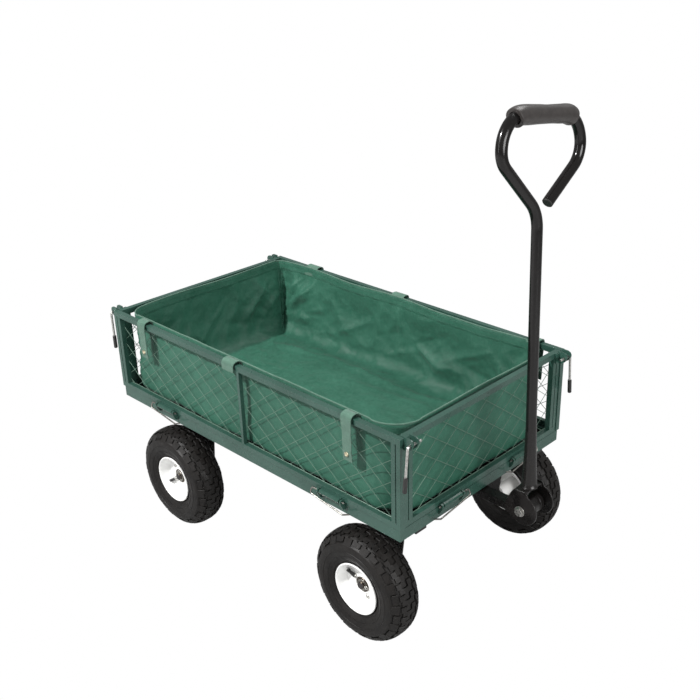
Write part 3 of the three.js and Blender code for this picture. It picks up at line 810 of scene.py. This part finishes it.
def add_grip():
    """A foam sleeve: an open tube, fatter where it is pushed round the bends, slightly lumpy."""
    path = subdivided(bent_path(on_stem(GRIP_POINTS), GRIP_BENDS, 10), 3.5)
    count, sides = len(path), 40
    outer, inner = [], []
    across = Vector((1, 0, 0))
    for i, (point, (a, b)) in enumerate(zip(path, neighbours(path))):
        along = (b - a).normalized()
        other = along.cross(across).normalized()
        t = i / (count - 1)
        swell = 0.2 * math.sin(7 * t) + swelling(t, 1.0, 0.93, 0.07) + swelling(t, 0.5, 0.04, 0.06)
        swell -= swelling(t, 0.9, 0.55, 0.2)
        ring = []
        for angle in turns(sides):
            spoke = across * math.cos(angle) + other * math.sin(angle)
            lump = 0.7 * noise.noise(point * 0.03 + spoke * 0.9)
            ring.append(point + spoke * (GRIP_RADIUS + swell + lump))
        outer.append(ring)
        inner.append(circle(point, across, other, GRIP_BORE, sides, start=0))

    def drawn_in(end, share):
        """An end ring pulled towards the bore, to round the sleeve's rim."""
        return [p.lerp(q, share) for p, q in zip(outer[end], inner[end])]

    rings = [drawn_in(0, 0.18), drawn_in(0, 0.04)] + outer[1:-1]
    rings += [drawn_in(-1, 0.04), drawn_in(-1, 0.18)] + inner[::-1]
    sleeve = Shape().rings(rings, closed=True)
    piece = make("foam_grip", sleeve, "handle", FOAM, STEM, "handle_grip", smooth=60)


# ---- Walls: wire mesh, hinge pins and latches, in each wall's frame ---------------
WALLS = {
    "right": {"turn": 0, "half": 483, "hinges": (-290, 290), "bent": -1},
    "left": {"turn": math.pi, "half": 483, "hinges": (-290, 290), "bent": -1},
    "front": {"turn": math.pi / 2, "half": 262.5, "hinges": (-122, 122), "bent": 1, "flare": 8},
    "rear": {"turn": -math.pi / 2, "half": 262.5, "hinges": (-122, 122), "bent": 1, "flare": 0},
}
WIRE_RADIUS, MESH_PLANE, DECK_WIRES_Z = 0.66, 18.2, 312.9


def wall_place(name):
    turn = Matrix.Rotation(WALLS[name]["turn"], 4, "Z")
    return Matrix.Translation(JOINT_AT[f"drop_{name}"]) @ turn


def diamond_wires(put, u0, u1, v0, v1, seed, pitch=64.0, rise=48.0):
    """Two families of straight wires that cross in diamonds, cut to a rectangle.
    put(u, v, depth) gives a wire point its place; each family lies on its own side."""
    shape, jitter = Shape(), random.Random(seed)
    reach = (v1 - v0) / (rise / pitch)
    for family in (-1, 1):
        start = u0 - reach if family > 0 else u0
        for i in range(int((u1 - u0 + reach) / pitch) + 2):
            at_foot = start + (i + 0.3) * pitch + jitter.uniform(-1.6, 1.6)
            ends = clip((at_foot, v0), (at_foot + family * reach, v1), u0, u1)
            if not ends or math.dist(*ends) < 8:
                continue
            (a_u, a_v), (b_u, b_v) = ends
            steps = max(2, int(math.dist(*ends) / 20))
            path = []
            for k in range(steps + 1):
                u, v = a_u + (b_u - a_u) * (k / steps), a_v + (b_v - a_v) * (k / steps)
                ripple = 0.35 * math.sin(2 * math.pi * (u / pitch + 0.2 * i))
                path.append(put(u, v, family * 0.72 + 0.2 * ripple))
            shape.tube(path, WIRE_RADIUS, 6, 0.0)
    return shape


def clip(a, b, u0, u1):
    """The stretch of a slanting line between two upright limits, or None."""
    run, climb = b[0] - a[0], b[1] - a[1]
    low, high = sorted(((u0 - a[0]) / run, (u1 - a[0]) / run))
    low, high = max(0.0, low), min(1.0, high)
    if low >= high:
        return None
    return [(a[0] + run * t, a[1] + climb * t) for t in (low, high)]


def add_wall_wires(name, seed):
    half = WALLS[name]["half"] - 22
    shape = diamond_wires(lambda u, v, d: (u, MESH_PLANE + d, v), -half, half, 9, 194, seed)
    for v in (11.6, 191.4):
        shape.tube([(-half, MESH_PLANE, v), (half, MESH_PLANE, v)], 0.9, 8, 0)
    node = f"{name}_panel_mesh"
    make(f"{name}_wires", shape, f"panel_{name}", WIRE, wall_place(name), node)


def add_deck_wires():
    shape = diamond_wires(lambda u, v, d: (u, v, DECK_WIRES_Z + d), -475, 475, -269, 269, 11)
    make("deck_wires", shape, "base", WIRE, node="deck_mesh")


def add_hinge_pins(name):
    bent, place = WALLS[name]["bent"], wall_place(name)
    for number, x in enumerate(WALLS[name]["hinges"], 1):
        path = bent_path([
            (x - bent * 42, 0, 0), (x + bent * 54, 0, 0), (x + bent * 58, -3.5, -14),
            (x - bent * 40, -3.5, -27), (x - bent * 60, -3.5, -17),
        ], [4, 5, 4])
        pin, node = Shape().tube(path, 1.8, 14, 0.5), f"{name}_hinge_pin_{number}"
        make(f"{name}_pin_wire_{number}", pin, "base", DARK_ZINC, place, node)


def add_latches(name):
    flare, out, height, place = WALLS[name]["flare"], -12.5, 195, wall_place(name)
    for side in (-1, 1):
        hand = "right" if (name == "front") == (side < 0) else "left"
        spot = f"{name}_{hand}"
        elbow = Vector((side * 274, out, height))
        foot = Vector((side * (274 + flare), out, 110))
        rod = Shape().tube(bent_path([(side * 236, out, height), elbow, foot], [5], 8), 2.8, 18, 0.6)
        body = f"latch_{spot}"
        make(f"{body}_wire", rod, body, ZINC, place, f"latch_rod_{spot}")
        up = (elbow - foot).normalized()
        tip = Shape().tube([foot + up * s for s in (-12, -9, 20, 22)], 4.6, 18, 1.3)
        make(f"{body}_sleeve", tip, body, VINYL, place, f"latch_tip_{spot}")


# ---- Liner -------------------------------------------------------------------
LINER_HALF = (459.0, 256.0)
# Each corner's radius by its signs, in the order in which the outline meets them.
LINER_CORNERS = {(1, -1): 72, (1, 1): 66, (-1, 1): 20, (-1, -1): 52}
HEM_Z, FLOOR_Z = 529.0, 320.0
ROLLS = (40.0, 13.0)  # the slack and the tight roll between wall and floor
STRAPS_X = {"right": (-357, -26, 343), "left": (-330, -11, 410)}
HEM_DEPTHS, HEM_ROWS = (0, 2, 6, 12, 18, 22, 24), 14
WELD = 0.0003  # metres
HALF_DIAGONAL = math.sqrt(0.5)


def liner_outline():
    """Points round the liner's top edge, anticlockwise from the near wall's rear end, each with
    its inward direction and which wall or corner it belongs to."""
    (half_x, half_y), ring = LINER_HALF, []
    corners = list(LINER_CORNERS.items())
    for number, (wall, (in_x, in_y), count, corner_count) in enumerate((
        ("right", (0, 1), 170, 26), ("front", (-1, 0), 84, 26),
        ("left", (0, -1), 170, 18), ("rear", (1, 0), 84, 26),
    )):
        start, end = (
            Vector((sx * (half_x - abs(in_y) * radius), sy * (half_y - abs(in_x) * radius), 0))
            for (sx, sy), radius in (corners[number - 1], corners[number])
        )
        inward = Vector((in_x, in_y, 0))
        ring += [(start.lerp(end, k / count), inward, wall) for k in range(count)]
        (sx, sy), radius = corners[number]
        centre = Vector((sx * (half_x - radius), sy * (half_y - radius), 0))
        for k in range(corner_count):
            angle = (number - 1) * math.pi / 2 + math.pi / 2 * k / corner_count
            out = Vector((math.cos(angle), math.sin(angle), 0))
            ring.append((centre + out * radius, -out, "corner"))
    return ring


class Folds:
    """Soft creases in the cloth. Each is a line in space; a point near it is pushed inwards."""

    def __init__(self):
        self.items = []

    def add(self, a, b, width, height, sharp):
        self.items.append((np.array(a, float), np.array(b, float), width, height, sharp))

    def push(self, points):
        total = np.zeros(len(points))
        for a, b, width, height, sharp in self.items:
            span = b - a
            t = np.clip((points - a) @ span / (span @ span), 0, 1)
            gap = np.linalg.norm(points - (a + t[:, None] * span), axis=1) / width
            near = gap < 4
            taper = np.sin(np.pi * np.clip(0.06 + 0.9 * t[near], 0, 1)) ** 0.7
            total[near] += height * taper * np.exp(-gap[near] ** (2 * sharp))
        return total


def wall_creases():
    """Set creases on the far and rear walls, then random ones: fans at the four lower corners,
    pulls below the straps, and slants across the walls."""
    folds, pick = Folds(), random.Random(5)
    half_x, half_y = LINER_HALF
    for y0, z0, y1, z1, width, height in (
        (200, 480, 90, 372, 8, 9), (150, 500, 235, 400, 6, 8),
        (60, 470, -60, 360, 9, 7), (225, 440, 160, 350, 6, 8),
    ):
        folds.add((-half_x, y0, z0), (-half_x, y1, z1), width, height, 0.55)
    for x0, z0, x1, z1, width, height in (
        (-430, 400, -330, 470, 6, 9), (-425, 372, -300, 392, 7, 9), (-430, 440, -350, 505, 5, 8),
        (-250, 360, -90, 440, 9, 9), (-60, 352, 60, 400, 7, 9), (40, 420, 170, 370, 8, 7),
        (150, 400, 300, 470, 8, 8), (240, 360, 380, 384, 7, 8),
    ):
        folds.add((x0, half_y, z0), (x1, half_y, z1), width, height, 0.55)
    for sx, sy in LINER_CORNERS:
        corner = Vector((sx * half_x, sy * half_y, 0))
        for direction in (Vector((-sx, 0, 0)), Vector((0, -sy, 0))):
            for _ in range(20 if (sx, sy) == (-1, 1) else 11):
                low = corner + direction * pick.uniform(10, 60) + UP * pick.uniform(325, 400)
                length, tilt = pick.uniform(50, 190), math.radians(pick.uniform(12, 84))
                high = low + direction * (length * math.cos(tilt)) + UP * (length * math.sin(tilt))
                high.z = min(high.z, 505)
                width, height = pick.uniform(5, 11), pick.uniform(3, 8.5) * pick.choice((1, 1, -0.7))
                folds.add(low, high, width, height, 0.6)
    for side, sign in (("right", -1), ("left", 1)):
        for x in STRAPS_X[side]:
            for _ in range(3):
                top = Vector((x + pick.uniform(-16, 16), sign * half_y, 500))
                foot = top + Vector((pick.uniform(-70, 90), 0, -pick.uniform(60, 150)))
                folds.add(top, foot, pick.uniform(8, 14), pick.uniform(2, 5), 0.75)
        for _ in range(16):
            x, z = pick.uniform(-380, 380), pick.uniform(350, 480)
            tilt, length = math.radians(pick.uniform(-35, 35)), pick.uniform(50, 150)
            a = Vector((x, sign * half_y, z))
            b = a + Vector((length * math.cos(tilt), 0, length * math.sin(tilt)))
            folds.add(a, b, pick.uniform(7, 16), pick.uniform(-4, 6), 0.6)
    for sign in (-1, 1):
        for _ in range(14):
            y, z = pick.uniform(-200, 200), pick.uniform(340, 470)
            tilt, length = math.radians(pick.uniform(25, 75)), pick.uniform(60, 160)
            a = Vector((sign * half_x, y, z))
            b = a + Vector((0, length * math.cos(tilt), length * math.sin(tilt)))
            folds.add(a, b, pick.uniform(7, 15), pick.uniform(-4, 7), 0.6)
    return folds


def floor_creases():
    """Long shallow fold marks, and slack that gathers along the foot of each wall."""
    folds, pick = Folds(), random.Random(8)
    half_x, half_y = LINER_HALF
    low_z, high_z = FLOOR_Z + 14, FLOOR_Z + 18
    for start, end, width, height in (
        ((-390, 150), (-150, 196), 8, 8), ((-180, 188), (60, 178), 9, 9),
        ((30, 172), (330, 196), 10, 9), ((-60, 128), (260, 150), 10, 5),
        ((-400, 60), (-290, -120), 8, 5), ((60, 60), (330, 96), 9, 4),
    ):
        folds.add((*start, FLOOR_Z), (*end, FLOOR_Z), width, height, 0.6)
    for sign in (-1, 1):
        x = -half_x + 60
        while x < half_x - 80:
            length = pick.uniform(90, 240)
            y0, y1 = (sign * (half_y - pick.uniform(*inset)) for inset in ((24, 44), (30, 62)))
            width, height = pick.uniform(10, 17), pick.uniform(5, 11)
            folds.add((x, y0, high_z), (x + length, y1, low_z), width, height, 0.8)
            x += length * 0.72
    for sign in (-1, 1):
        y = -half_y + 50
        while y < half_y - 60:
            length = pick.uniform(70, 150)
            x = sign * (half_x - pick.uniform(24, 40))
            width, height = pick.uniform(9, 15), pick.uniform(4, 9)
            folds.add((x, y, high_z), (x - sign * 12, y + length, low_z), width, height, 0.8)
            y += length * 0.75
    for _ in range(26):
        x, y = pick.uniform(-half_x + 90, half_x - 90), pick.uniform(-half_y + 70, half_y - 70)
        tilt, length = math.radians(pick.uniform(-35, 50)), pick.uniform(80, 260)
        end = (x + length * math.cos(tilt), y + length * math.sin(tilt) * 0.7, FLOOR_Z)
        folds.add((x, y, FLOOR_Z), end, pick.uniform(9, 20), pick.uniform(1.2, 3.6), 0.7)
    return folds


def hem_drop(point, wall):
    """How far the hem hangs below the straps, and how far it bows in, between them."""
    if wall == "corner":
        return 4.0, 2.0
    if wall in STRAPS_X:
        gap = min(abs(point.x - x) for x in STRAPS_X[wall])
        return 3.2 * min(1.0, gap / 120) ** 1.5, 5.0 * min(1.0, gap / 150) ** 1.6
    return 2.5 + 1.2 * math.sin(point.y / 60), 3 + 1.6 * math.sin(point.y / 47 + 1)


def liner_foot(point, inward):
    """The radius of the roll at the wall's foot and how far it tucks in: tight on the right and
    front walls, where the cloth was pushed down hard, and slack on the other two."""
    facing = (inward[1] - inward[0]) * HALF_DIAGONAL
    tight = min(1.0, max(0.0, facing * 1.1 + 0.5))
    tight = tight * tight * (3 - 2 * tight)
    wave = 0.5 + 0.5 * math.sin(point[0] / 61 + point[1] / 43) * math.sin(point[0] / 23.0 + 1.3)
    roll = ROLLS[0] + (ROLLS[1] - ROLLS[0]) * tight
    return roll + 4.5 * wave, 6.0 - 7.5 * tight + 1.5 * wave


def liner_surface():
    """Rows of points from the hem down the walls, round the roll at their foot and over the floor,
    with each row's share of wall in its facing and each column's inward direction."""
    ring = liner_outline()
    wall_rows, roll_rows, floor_rows, closing = 40, 12, 34, 0.98
    half_x, half_y = LINER_HALF
    rows, wall_share = [], []
    base, inward = ([np.array(item[part]) for item in ring] for part in (0, 1))
    drops = [hem_drop(p, wall) for p, _, wall in ring]
    feet = [liner_foot(p, n) for p, n, _ in ring]
    for i in range(wall_rows):
        t, row = i / (wall_rows - 1), []
        for p, n, (sag, bow), (roll, tuck) in zip(base, inward, drops, feet):
            top = HEM_Z - sag
            z = top + (FLOOR_Z + roll - top) * t
            row.append(p + n * (bow * (1 - t) ** 2 + tuck * t ** 2) + np.array((0, 0, z)))
        rows.append(row)
        wall_share.append(1.0)
    for i in range(1, roll_rows + 1):
        angle, row = math.pi / 2 * i / roll_rows, []
        for p, n, (roll, tuck) in zip(base, inward, feet):
            inset, z = tuck + roll * (1 - math.cos(angle)), FLOOR_Z + roll * (1 - math.sin(angle))
            row.append(p + n * inset + np.array((0, 0, z)))
        rows.append(row)
        wall_share.append(math.cos(angle))
    edge, reach = rows[-1], half_x - half_y
    middles = [np.array((max(-reach, min(reach, p[0])), 0, FLOOR_Z)) for p in edge]
    for i in range(1, floor_rows + 1):
        t = i / floor_rows
        rows.append([p + (middle - p) * t * closing for p, middle in zip(edge, middles)])
        wall_share.append(0.0)
    return np.array(rows), np.array(wall_share), np.array(inward)


def crumple(points, scale, seed):
    """Smooth ridged noise for each point."""
    shift = Vector((seed * 7.3, seed * 3.1, seed * 5.7))
    return np.array([1 - 2 * abs(noise.noise(Vector(p) * scale + shift)) * 1.6 for p in points])


def shaped_liner():
    """The liner's rows of points, pushed into creases; the hem is held and the tight walls are
    smoother."""
    rows, wall_share, inward = liner_surface()
    count_rows, count_cols, _ = rows.shape
    flat = rows.reshape(-1, 3)
    share = np.repeat(wall_share, count_cols)
    normal = np.tile(inward, (count_rows, 1)) * share[:, None]
    normal[:, 2] = np.sqrt(np.clip(1 - share ** 2, 0, 1))
    held = np.clip((HEM_Z - 4 - flat[:, 2]) / 60, 0, 1) ** 0.8
    taut = np.tile((inward[:, 1] - inward[:, 0]) * HALF_DIAGONAL, count_rows)
    slack = 1 - 0.8 * np.clip(taut * 1.4, 0, 1) * share
    push = wall_creases().push(flat) * np.clip(share * 1.6, 0, 1)
    push += floor_creases().push(flat)
    push += crumple(flat, 0.009, 1) * (3.6 * share + 1.6)
    push += crumple(flat, 0.024, 2) * 1.5
    push += crumple(flat, 0.06, 3) * 0.4
    push += corner_seams(flat, share)
    push = push * held * slack
    moved = flat + normal * push[:, None]
    moved[:, 2] = np.maximum(moved[:, 2], FLOOR_Z - 2.0)
    limit = np.array(LINER_HALF) + 4.5
    moved[:, :2] = np.clip(moved[:, :2], -limit, limit)
    return moved.reshape(count_rows, count_cols, 3)


def corner_seams(points, share):
    """A sewn ridge down each corner, puckered along its length."""
    push = np.zeros(len(points))
    for (sx, sy), radius in LINER_CORNERS.items():
        dx = points[:, 0] - sx * (LINER_HALF[0] - radius * (1 - HALF_DIAGONAL))
        dy = points[:, 1] - sy * (LINER_HALF[1] - radius * (1 - HALF_DIAGONAL))
        gap = np.abs(dy * sy * HALF_DIAGONAL - dx * sx * HALF_DIAGONAL)
        near = (np.hypot(dx, dy) < 60) & (share > 0.3)
        ridge = 3.0 * np.exp(-(gap / 3.0) ** 2) - 2.0 * np.exp(-((gap - 7) / 4.0) ** 2)
        pucker = 1.5 * np.exp(-(gap / 22) ** 2) * np.sin(points[:, 2] / 4.2)
        push[near] += (ridge + pucker)[near]
    return push


def add_liner():
    rows = shaped_liner()
    count_rows, count, _ = rows.shape
    faces = []
    for start in range(0, (count_rows - 1) * count, count):
        for k in range(count):
            n = (k + 1) % count
            faces.append((start + k, start + n, start + count + n, start + count + k))
    faces.append(range((count_rows - 1) * count, count_rows * count))
    cloth = Shape().add(rows.reshape(-1, 3), faces)
    piece = make("liner_bag", cloth, "base", CLOTH, node="liner", smooth=180)
    clean(piece.data, WELD)
    thick = piece.modifiers.new("thickness", "SOLIDIFY")
    thick.thickness, thick.offset = 0.001, 0
    lines = hem_lines(rows)
    normals = row_normals(lines[0])
    hem = add_hem(lines, normals)
    piping = add_piping(lines[0], normals)
    stitches = add_stitches(lines, normals)


def row_normals(row):
    """The inward direction at each point of a closed row."""
    along = np.roll(row, -1, axis=0) - np.roll(row, 1, axis=0)
    normal = np.stack([-along[:, 1], along[:, 0], np.zeros(len(row))], axis=1)
    return normal / np.linalg.norm(normal, axis=1)[:, None]


def hem_lines(rows):
    """Closed lines round the liner at the hem's depths below its edge."""
    made = []
    for depth in HEM_DEPTHS:
        line = []
        for column in rows[:HEM_ROWS].transpose(1, 0, 2):
            z = column[0][2] - depth
            line.append([*(np.interp(-z, -column[:, 2], column[:, axis]) for axis in (0, 1)), z])
        made.append(np.array(line))
    return made


def add_hem(lines, normals):
    """The double-folded band along the top edge, a little thicker than the cloth."""
    wave = 0.35 * np.sin(np.arange(len(normals)) * 0.55)
    inner, outer = [], []
    for depth, line in zip(HEM_DEPTHS, lines):
        at_edge = depth in (HEM_DEPTHS[0], HEM_DEPTHS[-1])
        half = 0.5 if at_edge else 1.5
        lifted = line + np.array((0, 0, 0 if depth else 1.2))
        inner.append(lifted + normals * (half if at_edge else (half + wave)[:, None]))
        outer.append(lifted - normals * half)
    loops = inner + outer[::-1]
    band = Shape().rings([[loop[k] for loop in loops] for k in range(len(normals))], closed=True)
    return make("liner_hem", band, "base", CLOTH, smooth=60)


def add_piping(line, normals):
    """The pale cord sewn into the hem's top edge."""
    cord = Shape().rings([
        circle(Vector(p) + UP * 1.6, UP, Vector(n), 1.7, 8) for p, n in zip(line, normals)
    ], closed=True)
    return make("liner_piping", cord, "base", STRAP, smooth=180)


def add_stitches(lines, normals):
    """Two rows of sewing along the hem, inside and out."""
    shape, pitch, long = Shape(), 7.5, 4.6
    for line in (lines[2], lines[4]):
        closed = np.vstack([line, line[:1]])
        steps = np.linalg.norm(np.diff(closed, axis=0), axis=1)
        distance = np.concatenate([[0], np.cumsum(steps)])
        at = 0.0
        while at < distance[-1] - long:
            a, b = (
                Vector([np.interp(s, distance, closed[:, axis]) for axis in range(3)])
                for s in (at, at + long)
            )
            normal = Vector(normals[int(np.searchsorted(distance, at)) % len(normals)])
            for side in (1, -1):
                off = normal * (1.9 * side)
                shape.tube([a + off, a.lerp(b, 0.5) + off * 1.2, b + off], 0.45, 5, 0.0)
            at += pitch
    return make("liner_stitches", shape, "base", THREAD, smooth=60)


# ---- Straps -------------------------------------------------------------------
STRAPS = {
    # place along the wall, width, height of the strap's outer end above the wall's hinge
    "right": (("rear", 30, 116), ("middle", 42, 188), ("front", 30, 106)),
    "left": (("rear", 42, 116), ("middle", 40, 188), ("front", 30, 106)),
}
SHORT_FOOT = 180  # a strap that ends above this has no press stud


def strap_line(foot):
    """A strap's centre line in its wall's frame, as [y, z]: up from the hem, over the rail, down."""
    line = [
        (28.0, 186), (26.6, 200), (24.6, 207.5), (20.0, 211.0), (13, 211.6), (7.0, 210.4),
        (2.6, 206.0), (1.4, 198), (1.8, 188),
    ]
    if foot < SHORT_FOOT:
        line += [(2.4, 175), (2.6, 150), (2.4, 130), (3.4, foot + 6), (3.9, foot)]
    return line


def build_strap(x, widths, foot, seed):
    """A flat webbing strip swept along its line, with a width at the hem, over the rail and at
    the foot."""
    fine = fine_line(strap_line(foot), 2.5)
    twist, thick = random.Random(seed).uniform(-0.5, 0.5), 0.9
    shares, halves = [0, 0.16, 0.38, 0.55, 1], [widths[i] / 2 for i in (0, 1, 1, 2, 2)]
    rings = []
    for (s, y, z), (before, after) in zip(fine, neighbours(fine)):
        along = Vector((0, after[1] - before[1], after[2] - before[2])).normalized()
        normal = along.cross(Vector((1, 0, 0)))
        t = s / fine[-1][0]
        half = np.interp(t, shares, halves)
        drift = twist * t * 3
        cross = []
        for k in range(13):
            u = -1 + 2 * k / 12
            cup = 0.8 * (u * u) * (1 - t) + 0.25 * math.sin(s * 0.21 + u * 2)
            cross.append(Vector((x + drift + u * half, y, z)) + normal * cup)
        off = normal * thick
        rings.append([p + off for p in cross] + [p - off for p in reversed(cross)])
    return Shape().rings(rings)


def add_straps():
    for wall, straps in STRAPS.items():
        facing, body, place = 1 if wall == "right" else -1, f"panel_{wall}", wall_place(wall)
        for spot, width, foot in straps:
            name = f"{wall}_strap_{spot}"
            node_low, node_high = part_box(name)
            x = facing * ((node_low.x + node_high.x) / 2 - BED_X) * 1000
            long = foot < SHORT_FOOT
            widths = (width + 12, width - 1, width - 5) if long else (width + 8, width, width - 3)
            strip = build_strap(x, widths, foot, len(spot) + facing)
            make(f"{wall}_webbing_{spot}", strip, body, STRAP, place, name, smooth=50)
            if long:
                add_snap(wall, spot, x, foot + 16)


def add_snap(wall, spot, x, z):
    """A press stud on the strap: a domed ring with a dimple."""
    stud = Shape().lathe([
        (0.6, 0.2), (1.8, 0.4), (2.6, 1.3), (4.2, 1.8), (5.2, 1.3), (5.6, 0.2), (5.6, -0.6), (0.6, -0.6),
    ], 32)
    turn = Matrix.Rotation(math.pi, 4, "Z")
    place = wall_place(wall) @ Matrix.Translation(Vector((x, 1.2, z)) / 1000) @ turn
    make(f"{wall}_snap_{spot}", stud, f"panel_{wall}", SNAP_METAL, place)


# ---- Assembly ------------------------------------------------------------------
add_camera()
add_studio()
add_floor()
finish_cad_steel()
add_wheels()
add_tongue()
add_yoke()
add_pivot_bolt()
add_handle_tube()
add_grip()
for number, wall_name in enumerate(WALLS):
    add_wall_wires(wall_name, number + 1)
    add_hinge_pins(wall_name)
for end in ("front", "rear"):
    add_latches(end)
add_deck_wires()
add_liner()
add_straps()
